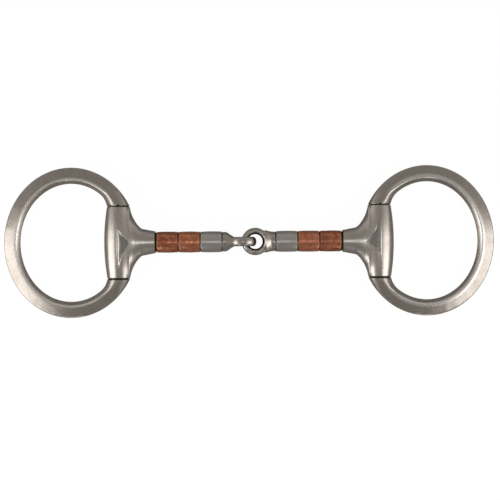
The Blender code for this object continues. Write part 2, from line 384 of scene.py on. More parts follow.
def makePanel(name, spec):
    light = bpy.data.lights.new(name, "AREA")
    light.shape = "RECTANGLE"
    light.size, light.size_y = spec["size"]
    light.energy = spec["glow"] * math.pi * spec["size"][0] * spec["size"][1]
    holder = bpy.data.objects.new(name, light)
    holder.location = spec["place"]
    towards = Vector(spec["aim"]) - Vector(spec["place"])
    holder.rotation_euler = towards.to_track_quat("-Z", "Y").to_euler()
    holder.visible_camera = False
    scene.collection.objects.link(holder)


# effects that more than one metal uses, and the metals

def shaderGroup(name, inputs, outputs):
    # an empty node group with its named sockets, each with its starting value
    tree = bpy.data.node_groups.new(name, "ShaderNodeTree")
    for key, value in inputs.items():
        kind = "NodeSocketVector" if value is None else "NodeSocketFloat"
        socket = tree.interface.new_socket(name=key, in_out="INPUT", socket_type=kind)
        if value is not None:
            socket.default_value = value
    for key in outputs:
        tree.interface.new_socket(name=key, in_out="OUTPUT", socket_type="NodeSocketFloat")
    return tree, addNode(tree, "NodeGroupInput", (-800, 0)), addNode(tree, "NodeGroupOutput", (800, 0))


def stretchedNoise(tree, start, place, scales, detail):
    # noise over a vector that is scaled by three numbers, sockets or plain values
    scaled = addNode(tree, "ShaderNodeVectorMath", (place[0], place[1]), operation="MULTIPLY")
    together = addNode(tree, "ShaderNodeCombineXYZ", (place[0] - 200, place[1] - 150))
    for i, scale in enumerate(scales):
        if isinstance(scale, (int, float)):
            together.inputs[i].default_value = scale
        else:
            tree.links.new(scale, together.inputs[i])
    cloud = addNode(tree, "ShaderNodeTexNoise", (place[0] + 200, place[1]), Scale=1.0, Detail=detail)
    tree.links.new(start, scaled.inputs[0])
    tree.links.new(together.outputs[0], scaled.inputs[1])
    tree.links.new(scaled.outputs[0], cloud.inputs["Vector"])
    return cloud.outputs["Fac"]


def window(tree, value, place, low, high):
    # 0 below low, 1 above high, smooth between
    made = addNode(tree, "ShaderNodeMapRange", place)
    made.interpolation_type = "SMOOTHSTEP"
    for key, bound in (("From Min", low), ("From Max", high)):
        if isinstance(bound, (int, float)):
            made.inputs[key].default_value = bound
        else:
            tree.links.new(bound, made.inputs[key])
    tree.links.new(value, made.inputs["Value"])
    return made.outputs["Result"]


def calculate(tree, operation, first, second, place):
    made = addNode(tree, "ShaderNodeMath", place, operation=operation)
    for socket, value in zip(made.inputs, (first, second)):
        if isinstance(value, (int, float)):
            socket.default_value = value
        else:
            tree.links.new(value, socket)
    return made.outputs[0]


effectSettings = {
    "broadGrain": 0.28,  # how closely the broad lines lie, against the fine
    "scratchPatches": 260,
    "scratchHeld": (0.52, 0.62),
    "wearAndHighlightScale": 700,
    "wearAndHighlightHeld": (0.2, 0.8),
    "grimeAndShadeScale": 900,
    "grimeAndShadeShift": 0.9,
    "grimeAndShadeHeld": (0.25, 0.85),
    "grimeAndShadeRough": 0.3,
}


def unevenShift(tree, cloud, amount, places):
    # noise as a shift up and down, instead of from 0 to 1
    centred = calculate(tree, "SUBTRACT", cloud, 0.5, places[0])
    return calculate(tree, "MULTIPLY", centred, amount, places[1])


def brushedGroup():
    # satin grain: fine lines that run along the first axis, in two widths
    tree, start, end = shaderGroup("brushedGrain", {"Vector": None, "Along": 60, "Across": 2500}, ["Height"])
    along, across = start.outputs["Along"], start.outputs["Across"]
    fine = stretchedNoise(tree, start.outputs["Vector"], (-300, 200), (along, across, across), 2)
    wide = calculate(tree, "MULTIPLY", across, effectSettings["broadGrain"], (-500, -200))
    broad = stretchedNoise(tree, start.outputs["Vector"], (-300, -200), (along, wide, wide), 1)
    both = calculate(tree, "ADD", fine, broad, (200, 0))
    tree.links.new(calculate(tree, "MULTIPLY", both, 0.5, (400, 0)), end.inputs["Height"])
    return tree


def mottleGroup():
    # soft patches, as on handled and tarnished metal
    inputs = {"Vector": None, "Scale": 300, "From": 0.4, "To": 0.65}
    tree, start, end = shaderGroup("mottle", inputs, ["Mask"])
    scale = start.outputs["Scale"]
    cloud = stretchedNoise(tree, start.outputs["Vector"], (-300, 0), (scale, scale, scale), 4)
    mask = window(tree, cloud, (200, 0), start.outputs["From"], start.outputs["To"])
    tree.links.new(mask, end.inputs["Mask"])
    return tree


def scratchGroup():
    # thin marks: where a long narrow noise crosses its middle value, broken by patches
    inputs = {"Vector": None, "Along": 90, "Across": 900, "Width": 0.012}
    tree, start, end = shaderGroup("scratches", inputs, ["Mask"])
    along, across = start.outputs["Along"], start.outputs["Across"]
    cloud = stretchedNoise(tree, start.outputs["Vector"], (-300, 200), (along, across, across), 1)
    middle = calculate(tree, "ABSOLUTE", calculate(tree, "SUBTRACT", cloud, 0.5, (100, 200)), 0, (250, 200))
    line = window(tree, middle, (400, 200), start.outputs["Width"], 0.0)
    scales = [effectSettings["scratchPatches"]] * 3
    patches = stretchedNoise(tree, start.outputs["Vector"], (-300, -300), scales, 1)
    held = window(tree, patches, (100, -300), *effectSettings["scratchHeld"])
    tree.links.new(calculate(tree, "MULTIPLY", line, held, (600, 0)), end.inputs["Mask"])
    return tree


def wearAndHighlightGroup():
    # rubbed ridges and painted highlight lines: the ridge mask, broken up so that it isn't an even line
    tree, start, end = shaderGroup("edgeWear", {"Vector": None, "Ridge": 0, "Breakup": 0.5}, ["Mask"])
    scales = [effectSettings["wearAndHighlightScale"]] * 3
    cloud = stretchedNoise(tree, start.outputs["Vector"], (-300, 0), scales, 3)
    shift = unevenShift(tree, cloud, start.outputs["Breakup"], ((100, 0), (250, 0)))
    raised = calculate(tree, "ADD", start.outputs["Ridge"], shift, (400, 0))
    tree.links.new(window(tree, raised, (600, 0), *effectSettings["wearAndHighlightHeld"]), end.inputs["Mask"])
    return tree


def grimeAndShadeGroup():
    # dark residue that gathers by seams, with painted shade in the seams, gaps and holes
    tree, start, end = shaderGroup("seamShadeAndGrime", {"Vector": None, "Seam": 0, "Amount": 1}, ["Mask"])
    scales = [effectSettings["grimeAndShadeScale"]] * 3
    cloud = stretchedNoise(tree, start.outputs["Vector"], (-300, 0), scales, 4)
    shift = unevenShift(tree, cloud, effectSettings["grimeAndShadeShift"], ((0, 0), (150, 0)))
    spread = calculate(tree, "ADD", start.outputs["Seam"], shift, (300, 0))
    kept = window(tree, spread, (450, 0), *effectSettings["grimeAndShadeHeld"])
    tree.links.new(calculate(tree, "MULTIPLY", kept, start.outputs["Amount"], (600, 0)), end.inputs["Mask"])
    return tree


groups = {}


def makeGroups():
    groups["grain"] = brushedGroup()
    groups["mottle"] = mottleGroup()
    groups["scratches"] = scratchGroup()
    groups["wearAndHighlight"] = wearAndHighlightGroup()
    groups["grimeAndShade"] = grimeAndShadeGroup()


def useGroup(tree, key, vector, place, links=None, **values):
    # one group in a material, its vector linked and its numbers set
    made = addNode(tree, "ShaderNodeGroup", place)
    made.node_tree = groups[key]
    setInputs(made, values)
    tree.links.new(vector, made.inputs["Vector"])
    for socket, source in (links or {}).items():
        tree.links.new(source, made.inputs[socket])
    return made.outputs[0]


def maskOf(tree, name, place):
    made = addNode(tree, "ShaderNodeAttribute", place)
    made.attribute_name = name
    return made.outputs["Fac"]


def blendColours(tree, mask, first, second, place):
    made = addNode(tree, "ShaderNodeMix", place)
    made.data_type = "RGBA"
    colourSockets = [s for s in made.inputs if s.type == "RGBA"]
    for socket, value in zip(colourSockets, (first, second)):
        if isinstance(value, tuple):
            socket.default_value = (*value, 1)
        else:
            tree.links.new(value, socket)
    tree.links.new(mask, made.inputs["Factor"])
    return [s for s in made.outputs if s.type == "RGBA"][0]


def metalMaterial(name, look):
    # brushed metal: patches change its colour and shine, ridges are rubbed bright and some carry painted
    # highlight lines, hollows are painted darker as shade and are smoother, and seams hold grime with
    # painted shade
    material = bpy.data.materials.new(name)
    material.use_nodes = True
    tree = material.node_tree
    shader = tree.nodes["Principled BSDF"]
    shader.location = (900, 0)
    setInputs(shader, {"Metallic": look["metal"], "Specular IOR Level": 0.5})
    if look["vector"] == "grain":
        source = addNode(tree, "ShaderNodeAttribute", (-900, 0))
        source.attribute_name = "grain"
        vector = source.outputs["Vector"]
    else:
        source = addNode(tree, "ShaderNodeTexCoord", (-1100, 0))
        turn = (0, 0, math.radians(look["turn"]))
        turned = addNode(tree, "ShaderNodeMapping", (-900, 0), Rotation=turn)
        tree.links.new(source.outputs["Object"], turned.inputs["Vector"])
        vector = turned.outputs["Vector"]
    patchSpan = {"From": look["patchFrom"], "To": look["patchTo"]}
    speckSpan = {"From": look["speckFrom"], "To": look["speckTo"]}
    grainSpan = {"Along": look["grainAlong"], "Across": look["grainAcross"]}
    markSpan = {"Along": look["markAlong"], "Across": look["markAcross"], "Width": look["markWidth"]}
    ridge = {"Ridge": maskOf(tree, "ridge", (-750, -500))}
    seam = {"Seam": maskOf(tree, "seam", (-750, -700))}
    patches = useGroup(tree, "mottle", vector, (-500, 300), Scale=look["patchScale"], **patchSpan)
    specks = useGroup(tree, "mottle", vector, (-500, 100), Scale=look["speckScale"], **speckSpan)
    grain = useGroup(tree, "grain", vector, (-500, -100), **grainSpan)
    marks = useGroup(tree, "scratches", vector, (-500, -300), **markSpan)
    wearAndHighlight = useGroup(tree, "wearAndHighlight", vector, (-500, -500), ridge, Breakup=look["breakup"])
    grimeAndShade = useGroup(tree, "grimeAndShade", vector, (-500, -700), seam, Amount=look["grimeAndShade"])
    hollow = maskOf(tree, "hollow", (-750, -900))
    colour = blendColours(tree, patches, look["colour"], look["patchColour"], (-100, 300))
    colour = blendColours(tree, specks, colour, look["speckColour"], (100, 300))
    # hollows painted darker: painted shade
    colour = blendColours(tree, hollow, colour, look["hollowShadeColour"], (200, 300))
    # ridges lightened: rubbed wear, and painted highlight lines on the ring's crest, the neck and the roller
    # ends
    colour = blendColours(tree, wearAndHighlight, colour, look["wornAndHighlightColour"], (300, 300))
    # seam grime mixed with painted shade in seams, gaps and holes
    colour = blendColours(tree, grimeAndShade, colour, look["grimeAndShadeColour"], (500, 300))
    tree.links.new(colour, shader.inputs["Base Color"])
    rough = calculate(tree, "MULTIPLY", patches, look["patchRough"], (-100, 0))
    rough = calculate(tree, "ADD", rough, look["rough"], (50, 0))
    streaks = unevenShift(tree, grain, look["grainRough"], ((-100, -150), (50, -150)))
    rough = calculate(tree, "ADD", rough, streaks, (200, 0))
    smoothed = calculate(tree, "MULTIPLY", hollow, look["polish"], (200, -150))
    rough = calculate(tree, "SUBTRACT", rough, smoothed, (350, 0))
    glossOfWearAndHighlight = calculate(tree, "MULTIPLY", wearAndHighlight, look["wearAndHighlightGloss"], (350, -150))
    rough = calculate(tree, "SUBTRACT", rough, glossOfWearAndHighlight, (500, 0))
    dulled = calculate(tree, "MULTIPLY", grimeAndShade, effectSettings["grimeAndShadeRough"], (500, -150))
    rough = calculate(tree, "ADD", rough, dulled, (650, 0))
    tree.links.new(rough, shader.inputs["Roughness"])
    depth = calculate(tree, "MULTIPLY", grain, look["grainDepth"], (200, -350))
    cut = calculate(tree, "MULTIPLY", marks, -look["markDepth"], (200, -500))
    pitted = calculate(tree, "MULTIPLY", specks, look["speckDepth"], (200, -650))
    height = calculate(tree, "ADD", depth, cut, (400, -400))
    height = calculate(tree, "ADD", height, pitted, (550, -400))
    bump = addNode(tree, "ShaderNodeBump", (700, -400), Strength=1.0, Distance=1.0)
    tree.links.new(height, bump.inputs["Height"])
    tree.links.new(bump.outputs[0], shader.inputs["Normal"])
    return material


satinRing = {
    "vector": "grain", "metal": 1.0, "hollowShadeColour": (0.60, 0.545, 0.49),
    "colour": (0.60, 0.545, 0.49),
    "patchColour": (0.53, 0.475, 0.42), "patchScale": 130, "patchFrom": 0.42, "patchTo": 0.72,
    "speckColour": (0.44, 0.38, 0.33), "speckScale": 1500, "speckDepth": 1e-6,
    "speckFrom": 0.45, "speckTo": 0.75,
    "wornAndHighlightColour": (1.0, 0.96, 0.905), "wearAndHighlightGloss": 0.04, "breakup": 0.12,
    "grimeAndShadeColour": (0.03, 0.025, 0.02), "grimeAndShade": 0.95,
    "rough": 0.27, "patchRough": 0.05, "grainRough": 0.12, "polish": 0.0,
    "grainAlong": 160, "grainAcross": 2600, "grainDepth": 4e-6,
    "markAlong": 120, "markAcross": 900, "markWidth": 0.01, "markDepth": 2.5e-6,
}
satinBarrel = {
    **satinRing, "vector": "object", "turn": 90,  # the grain runs along Y, or with no turn along X
    "colour": (0.69, 0.635, 0.58), "patchColour": (0.60, 0.545, 0.49), "speckColour": (0.53, 0.475, 0.425),
    "hollowShadeColour": (0.46, 0.43, 0.405), "wornAndHighlightColour": (0.94, 0.9, 0.85), "rough": 0.28, "polish": 0.1,
    "breakup": 0.25,
    "grainAlong": 160, "grainAcross": 1500, "grainDepth": 1.2e-6,
}
satinSpindle = {
    **satinBarrel, "colour": (0.60, 0.55, 0.50), "hollowShadeColour": (0.52, 0.475, 0.43),
    "turn": 0, "rough": 0.27, "polish": 0.0, "grainAlong": 300, "grainAcross": 900,
}
rollerSteel = {
    **satinRing, "vector": "object", "turn": 0,
    "colour": (0.71, 0.67, 0.625), "patchColour": (0.63, 0.58, 0.535), "speckColour": (0.56, 0.52, 0.48),
    "wornAndHighlightColour": (0.94, 0.9, 0.85), "breakup": 0.25,
    "rough": 0.31, "grainAlong": 120, "grainAcross": 1500, "grainDepth": 0.8e-6,
}
rollerCopper = {
    **rollerSteel,
    "colour": (0.98, 0.405, 0.235), "patchColour": (0.70, 0.235, 0.12), "patchScale": 420,
    "patchFrom": 0.36, "patchTo": 0.66,
    "speckColour": (0.45, 0.16, 0.09), "speckScale": 1600, "speckDepth": 3e-6,
    "wornAndHighlightColour": (1.0, 0.62, 0.45), "grimeAndShadeColour": (0.05, 0.02, 0.015),
    "rough": 0.25, "patchRough": 0.1, "metal": 0.93,
}
darkCopper = {**rollerCopper, "colour": (0.86, 0.335, 0.19), "patchColour": (0.47, 0.15, 0.08)}
pinSteel = {**satinSpindle, "colour": (0.50, 0.49, 0.47), "rough": 0.32}


# cheek rings

ringSizes = {
    "bandWidth": 0.0086,
    "thickness": 0.0055,
    "seamGap": 0.0003,
    "endThickness": 0.009,
    "endLength": 0.009,
    "endSweep": 0.0045,
    "endTuck": 0.0004,
    "endRadius": 0.006,  # of the barrel where the ring meets it
    "faceSlope": 13,  # degrees that the face falls towards the outer edge
    "crestEase": 0.0012,
    "crestInset": 0.0022,  # from the inner side to the painted highlight line along the crest
    "crestHighlight": 1.15,
    "crestShine": 0.0012,  # how far the painted highlight line fades over the face
    "crestFade": 0.0012,  # and down the inner wall
    "edgeWear": 0.3,
    "edgeFade": 0.0006,
    "crestRound": 0.0009,
    "wallTilt": 48,  # degrees that the inner wall stands at
    "innerRound": 0.00086,
    "outerRound": 0.0009,
    "handWave": 0.14,  # how unevenly the face was ground
    "waves": (5, 13),  # of the hand round the ring, slow and quick
    "seeds": {"left": 2.1, "right": 4.1},
    "journalRadius": 0.0027,
    "journalLength": 0.012,
    "journalRoot": 0.003,
    "collarRadius": 0.0055,  # of the low collar that closes the seam, painted dark all over as seam shade
    "collarGap": 0.00005,
    "collarDepth": 0.0005,  # into the ring's end
    "seamShadeAndGrimeSpread": (1.1, 0.0006),
    "grainRadius": 0.036,  # that the grain's length is measured at
    "sections": 190,
}
ringSides = {"left": {}, "right": {"crestShine": 0.0026}}


def bandHalf(width, half, slope, sizes):
    # upper half of the section from the outer side to the inner, as (across, up)
    tilt = math.radians(sizes["wallTilt"])
    crestRound, innerRound = sizes["crestRound"], sizes["innerRound"]
    wall = (half - crestRound * (1 - math.cos(tilt)) - innerRound * math.cos(tilt)) / math.tan(tilt)
    crest = width - crestRound * math.sin(tilt) - wall - innerRound * (1 - math.sin(tilt))
    ease, edge = sizes["crestEase"], sizes["outerRound"]

    def faceHeight(across):
        return half - math.tan(slope) * (math.hypot(crest - across, ease) - ease)

    faceStart = edge * (1 - math.sin(slope))
    centre = faceHeight(faceStart) - edge * math.cos(slope)
    points = [(0, 0), (0, centre * 0.6)]
    points += arcPoints((edge, centre), edge, 180, 90 + math.degrees(slope), 6)
    points += [(a, faceHeight(a)) for a in np.linspace(faceStart, crest, 12)[1:]]
    points += arcPoints((crest, half - crestRound), crestRound, 90, 90 - sizes["wallTilt"], 6)[1:]
    points += arcPoints((width - innerRound, 0), innerRound, 90 - sizes["wallTilt"], 0, 5)
    return points


def bandSection(outer, inner, thickness, roundness, slope, sizes):
    across = inner - outer
    width, half = across.length, thickness / 2
    upper = bandHalf(width, half, slope, sizes)
    section, shares = [], []
    for along, up in upper + [(a, -u) for a, u in upper[-2:0:-1]]:
        angle = math.atan2(up / half, 2 * along / width - 1)
        along += (width / 2 * (1 + math.cos(angle)) - along) * roundness
        up += (half * math.sin(angle) - up) * roundness
        section.append(outer + across * (along / width) + Vector((0, 0, up)))
        shares.append((along, up))
    return section, shares


def ringSections(sizes, seed):
    outerUp = ringHigh.y
    reach = ringHigh.x - barrelPlace
    seam = barrelHalf + sizes["seamGap"]
    outerAcross = (reach + sizes["endRadius"]) / (1 + math.sqrt(1 - (seam / outerUp) ** 2))
    centre = reach - outerAcross
    innerUp, innerAcross = outerUp - sizes["bandWidth"], outerAcross - sizes["bandWidth"]
    outerStart, innerStart = math.asin(seam / outerUp), math.asin(seam / innerUp)
    for i in range(sizes["sections"] + 1):
        share = i / sizes["sections"]
        outerAngle = outerStart + (math.tau - 2 * outerStart) * share
        innerAngle = innerStart + (math.tau - 2 * innerStart) * share
        outer = Vector((centre - outerAcross * math.cos(outerAngle), outerUp * math.sin(outerAngle), 0))
        inner = Vector((centre - innerAcross * math.cos(innerAngle), innerUp * math.sin(innerAngle), 0))
        nearEnd = 0.0
        if inner.x < centre:
            nearEnd = float(smoothStep(1 - (abs(inner.y) - seam) / sizes["endLength"]))
            inner.x = smoothMax(inner.x, sizes["endRadius"] - sizes["endTuck"], sizes["endSweep"])
        thickness = sizes["thickness"] + (sizes["endThickness"] - sizes["thickness"]) * nearEnd
        slow = noise.noise(Vector((sizes["waves"][0] * outerAngle, seed, 0)))
        quick = noise.noise(Vector((sizes["waves"][1] * outerAngle, seed, 7)))
        wave = slow + 0.5 * quick
        slope = math.radians(sizes["faceSlope"] * (1 + sizes["handWave"] * wave))
        section, shares = bandSection(outer, inner, thickness, nearEnd, slope, sizes)
        yield section, shares, share, nearEnd


def makeRing(side, sign, sizes, material):
    points, grain, ridge, seam = [], [], [], []
    bandPath = math.tau * sizes["grainRadius"]
    for section, shares, share, nearEnd in ringSections(sizes, sizes["seeds"][side]):
        for point, (along, up) in zip(section, shares):
            points.append(point)
            grain.append((share * bandPath, along, up))
            # the crest line is a painted highlight, the outer edge is rubbed wear
            past = along - (sizes["bandWidth"] - sizes["crestInset"])
            crest = past / sizes["crestFade"] if past > 0 else -past / sizes["crestShine"]
            edge = along / sizes["edgeFade"]
            crestHighlightAndEdgeWear = max(sizes["crestHighlight"] * (1 - crest), sizes["edgeWear"] * (1 - edge))
            ridge.append(crestHighlightAndEdgeWear * (1 - nearEnd))
        endPlace = min(share, 1 - share) * bandPath
        # grime and painted seam shade towards the ring's ends
        seam += [shadeAndGrimeNear(endPlace, *sizes["seamShadeAndGrimeSpread"])] * len(section)
    size = len(section)
    rows = len(points) // size
    faces = [
        (r * size + i, r * size + (i + 1) % size, (r + 1) * size + (i + 1) % size, (r + 1) * size + i)
        for r in range(rows - 1)
        for i in range(size)
    ]
    faces += [tuple(range(size)), tuple(range((rows - 1) * size, rows * size))]
    placed = facing(np.array(points) + np.array([barrelPlace, 0, 0]), sign) + np.array([0, 0, axisHeight])
    ring = meshObject(f"{side}_ring", placed, faces, {"ridge": ridge, "seam": seam})
    attribute = ring.data.attributes.new("grain", "FLOAT_VECTOR", "POINT")
    attribute.data.foreach_set("vector", np.array(grain, np.float32).ravel())
    start = barrelHalf + sizes["seamGap"]
    centre = (sign * barrelPlace, 0, axisHeight)
    for direction in (1, -1):
        ends = np.array([start - sizes["journalLength"], start + sizes["journalRoot"]])
        journal = sorted(float(direction * end) for end in ends)
        ends = np.array([barrelHalf + sizes["collarGap"], start + sizes["collarDepth"]])
        collar = sorted(float(direction * end) for end in ends)
        # the collar is painted dark all over, as shade in the seam
        combine(ring, rod("collar", *collar, sizes["collarRadius"], "Y", centre, seam=1), "UNION")
        combine(ring, rod("journal", *journal, sizes["journalRadius"], "Y", centre), "UNION")
    finishPiece(ring, f"{side}_cheek_ring", "satin_steel", material, sharp=55)


# barrels with their shoulders

barrelSizes = {
    "endRadius": 0.006,
    "boreRadius": 0.003,
    "edge": 0.0004,
    "shoulderRadius": 0.0058,
    "neckTaper": 0.19,
    "flareLength": 0.0069,
    "flarePower": 1.42,
    "flareInset": 0.0003,
    "flareSquareness": 3.4,  # of its section beside the barrel. 2 is an oval, as at the neck
    "flareDrop": 0.0003,  # how far its top starts below the barrel's
    "flareFade": 0.0078,  # from the barrel's axis to where it's all neck
    "saddleLong": 0.0165,  # the polished hollow beside the barrel's top, its two arms and its reach
    "saddleShort": 0.0072,
    "saddleReach": 0.0066,
    "saddleStart": 0.0004,  # from the barrel's axis
    "saddleBows": (2.0, 1.4),  # how far its two sides bow in
    "saddleTip": 0.15,
    "saddleCut": 1.6,  # how much deeper it is in the barrel than in the shoulder
    "neckShine": 0.0019,  # half the width of the painted highlight line along the neck
    "neckFade": 0.001,
    "neckHighlight": 0.9,
    "wornCurve": (500, 2500),  # where rubbing starts, and how much more is fully rubbed, in 1/m
    "seamShadeAndGrimeSpread": (1.4, 0.0005),
    "socketRadius": 0.0033,
    "socketDepth": 0.0102,
    "pinRadius": 0.00155,
    "pinTop": 0.0047,  # where the pin's hole ends, above the axis
    "valley": 0.0009,  # how softly the flare runs into the barrel
    "flareSoftness": 0.01,
    "cell": 0.00028,
}
barrelSides = {
    "left": {"saddleDepth": 0.00032, "saddleEdge": 0.0005},
    "right": {"saddleDepth": 0.00017, "saddleEdge": 0.0013},  # more worn away
}


def shoulderHeight(inboard, sizes):
    # half the shoulder's height at a distance inboard of the barrel's axis
    length = barrelPlace - shoulderPlace
    flareStart = sizes["endRadius"] + sizes["flareLength"]
    neck = sizes["shoulderRadius"] + sizes["neckTaper"] * (length - np.maximum(inboard, flareStart))
    share = np.clip((flareStart - inboard) / sizes["flareLength"], 0, 1)
    rise = barrelHalf - sizes["flareInset"] - neck
    power = sizes["flarePower"]
    return neck + rise * (1 - (1 - share**power) ** (1 / power))


def saddleMask(points, sizes):
    # 1 in the hollow between the shoulder's two arms and the barrel's top line, on the upper side
    x, y, z = points.T
    arm = np.where(y > 0, y / sizes["saddleLong"], -y / sizes["saddleShort"])
    bow = np.where(y > 0, *sizes["saddleBows"])
    reach = sizes["saddleReach"] * np.clip(1 - arm, 0, 1) ** bow
    toSides = np.minimum(-x - sizes["saddleStart"], reach + x)
    inside = 0.5 + toSides / sizes["saddleEdge"]
    return smoothStep(inside) * smoothStep((1 - arm) / sizes["saddleTip"]) * (z > 0)


def barrelParts(points, sizes):
    # distances to the turned barrel and to the shoulder, from the barrel's axis
    x, y, z = points.T
    belly = barrelRadius - sizes["endRadius"]
    radius = sizes["endRadius"] + belly * (1 - (y / barrelHalf) ** 2)
    saddle = saddleMask(points, sizes) * sizes["saddleDepth"]
    body = np.hypot(x, z) - (radius - sizes["saddleCut"] * saddle)
    near = 1 + x / sizes["flareFade"]
    near = np.clip((near + np.sqrt(near**2 + sizes["flareSoftness"])) / 2, 0, 1)
    deep = sizes["shoulderRadius"] + (radius - sizes["flareDrop"] - sizes["shoulderRadius"]) * near - saddle
    power = 2 + (sizes["flareSquareness"] - 2) * near
    shoulder = ovalDistance(y, z, shoulderHeight(-x, sizes), deep, power)
    return body, np.maximum(shoulder, x)


def barrelField(sizes):
    length = barrelPlace - shoulderPlace
    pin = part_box("right_cross_pin")
    pinPlace = (pin[0].x + pin[1].x) / 2 - barrelPlace

    def field(points):
        x, y, z = points.T
        body, shoulder = barrelParts(points, sizes)
        shape = smoothMin(body, shoulder, sizes["valley"])
        shape = smoothMax(shape, np.abs(y) - barrelHalf, sizes["edge"])
        shape = smoothMax(shape, -x - length, sizes["edge"])
        bore = np.hypot(x, z) - sizes["boreRadius"]
        socket = np.maximum(np.hypot(y, z) - sizes["socketRadius"], x + length - sizes["socketDepth"])
        pinHole = np.maximum(np.hypot(x - pinPlace, y) - sizes["pinRadius"], z - sizes["pinTop"])
        for hole in (bore, socket, pinHole):
            shape = smoothMax(shape, -hole, sizes["edge"] / 2)
        return shape

    return field


def makeBarrel(side, sign, sizes, material):
    length = barrelPlace - shoulderPlace
    low = (-length, -barrelHalf, -barrelRadius)
    high = (barrelRadius, barrelHalf, barrelRadius)
    field = barrelField(sizes)
    points, quads = skinOf(field, low, high, sizes["cell"])
    curve = bend(field, points)
    onNeck = smoothStep((-points[:, 0] - sizes["saddleReach"]) / sizes["neckFade"]) * (points[:, 2] > 0)
    # a painted highlight line along the top of the neck
    neckLine = onNeck * (1 - np.abs(points[:, 1]) / sizes["neckShine"])
    toSeam = np.minimum(barrelHalf - np.abs(points[:, 1]), points[:, 0] + length)
    wornFrom, wornOver = sizes["wornCurve"]
    masks = {
        "ridge": np.maximum((curve - wornFrom) / wornOver, sizes["neckHighlight"] * neckLine),
        # the saddle is polished smoother and painted darker, as painted shade
        "hollow": saddleMask(points, sizes),
        # grime and painted seam shade by the barrel's ends and the shoulder's end
        "seam": shadeAndGrimeNear(toSeam, *sizes["seamShadeAndGrimeSpread"]),
    }
    place = np.array([sign * barrelPlace, 0, axisHeight])
    barrel = meshObject(f"{side}_barrel_fine", facing(points, sign) + place, quads, masks)
    finishPiece(barrel, f"{side}_barrel", "satin_steel", material, sharp=60)


# spindles with their eyes

spindleSizes = {
    "holeRadius": 0.00388,
    "eyeHalfThickness": 0.0025,
    "eyeSquareness": 2.1,  # 2 is an oval section
    "waistHalf": 0.00235,
    "collarRadius": 0.0052,
    "collarLength": 0.0014,
    "collarTaper": 0.00205,
    "collarEdge": 0.00035,
    "neckStart": 0.0052,
    "eyeBlend": 0.001,
    "rodRadius": 0.003,
    "rodChamfer": 0.0003,
    "rodRoot": 0.001,  # into the collar
    "pinClearance": 0.0003,
    "wornCurve": (1500, 3000),  # where rubbing starts, and how much more is fully rubbed, in 1/m
    "hollowCurve": 900,
    "collarShadeAndGrime": (1, 0.0004),
    "eyeShadeAndGrime": (1.8, 0.00075),
    "cell": 0.0002,
}


def spindleField(sizes):
    # the eye, its neck and the collar, from the eye's middle towards the rollers
    wire = (eyeRadius - sizes["holeRadius"]) / 2
    wireRadius = (eyeRadius + sizes["holeRadius"]) / 2
    collarFace = eyeRadius + sizes["collarTaper"] + sizes["collarLength"]
    collarStart = collarFace - sizes["collarLength"]
    waist = sizes["holeRadius"]
    waistWidth = math.sqrt(eyeRadius**2 - waist**2)
    power = sizes["eyeSquareness"]

    def field(points):
        x, y, z = points.T
        out = np.abs(np.hypot(x, y) - wireRadius) / wire
        share = (out**power + (np.abs(z) / sizes["eyeHalfThickness"]) ** power) ** (1 / power)
        eye = (share - 1) * wire
        grown = smoothStep((x - waist) / (collarStart - waist))
        halfWidth = waistWidth + (sizes["collarRadius"] - waistWidth) * grown
        halfDeep = sizes["waistHalf"] + (sizes["collarRadius"] - sizes["waistHalf"]) * grown
        neck = ovalDistance(y, z, halfWidth, halfDeep)
        neck = smoothMax(neck, x - collarFace, sizes["collarEdge"])
        neck = smoothMax(neck, sizes["neckStart"] - x, sizes["collarEdge"])
        return smoothMin(eye, neck, sizes["eyeBlend"])

    return field, collarFace


def makeSpindle(side, sign, sizes, material):
    field, collarFace = spindleField(sizes)
    low = (-eyeRadius, -eyeRadius, -sizes["collarRadius"])
    high = (collarFace, eyeRadius, sizes["collarRadius"])
    points, quads = skinOf(field, low, high, sizes["cell"])
    curve = bend(field, points)
    toHole = np.hypot(points[:, 0], points[:, 1])
    wornFrom, wornOver = sizes["wornCurve"]
    # grime and painted shade by the collar and round the eye's hole
    byCollar = shadeAndGrimeNear(collarFace - points[:, 0], *sizes["collarShadeAndGrime"])
    byEye = shadeAndGrimeNear(toHole - sizes["holeRadius"], *sizes["eyeShadeAndGrime"])
    masks = {
        "ridge": (curve - wornFrom) / wornOver,
        # concave places painted darker, as painted shade
        "hollow": -curve / sizes["hollowCurve"],
        "seam": np.maximum(byCollar, byEye),
    }
    if sign < 0:
        points = points[:, (0, 2, 1)] * np.array([1, -1, 1])  # its eye stands a quarter turn from the other
    place = np.array([sign * eyePlace, 0, axisHeight])
    spindle = meshObject(f"{side}_spindle_fine", facing(points, sign) + place, quads, masks)
    inside = eyePlace + collarFace - sizes["rodRoot"]
    ends = sorted((sign * inside, sign * spindleHigh.x))
    tail = rod("tail", *ends, sizes["rodRadius"], "X", (0, 0, axisHeight), chamfer=sizes["rodChamfer"])
    pinLow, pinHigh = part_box(f"{side}_cross_pin")
    pinCentre = ((pinLow.x + pinHigh.x) / 2, 0, 0)
    holeRadius = (pinHigh.x - pinLow.x) / 2 + sizes["pinClearance"]
    pinHole = rod("pinHole", 0, 2 * axisHeight, holeRadius, "Z", pinCentre)
    combine(tail, pinHole, "DIFFERENCE")
    combine(spindle, tail, "UNION")
    finishPiece(spindle, f"{side}_spindle", "satin_steel", material, sharp=50)


# rollers

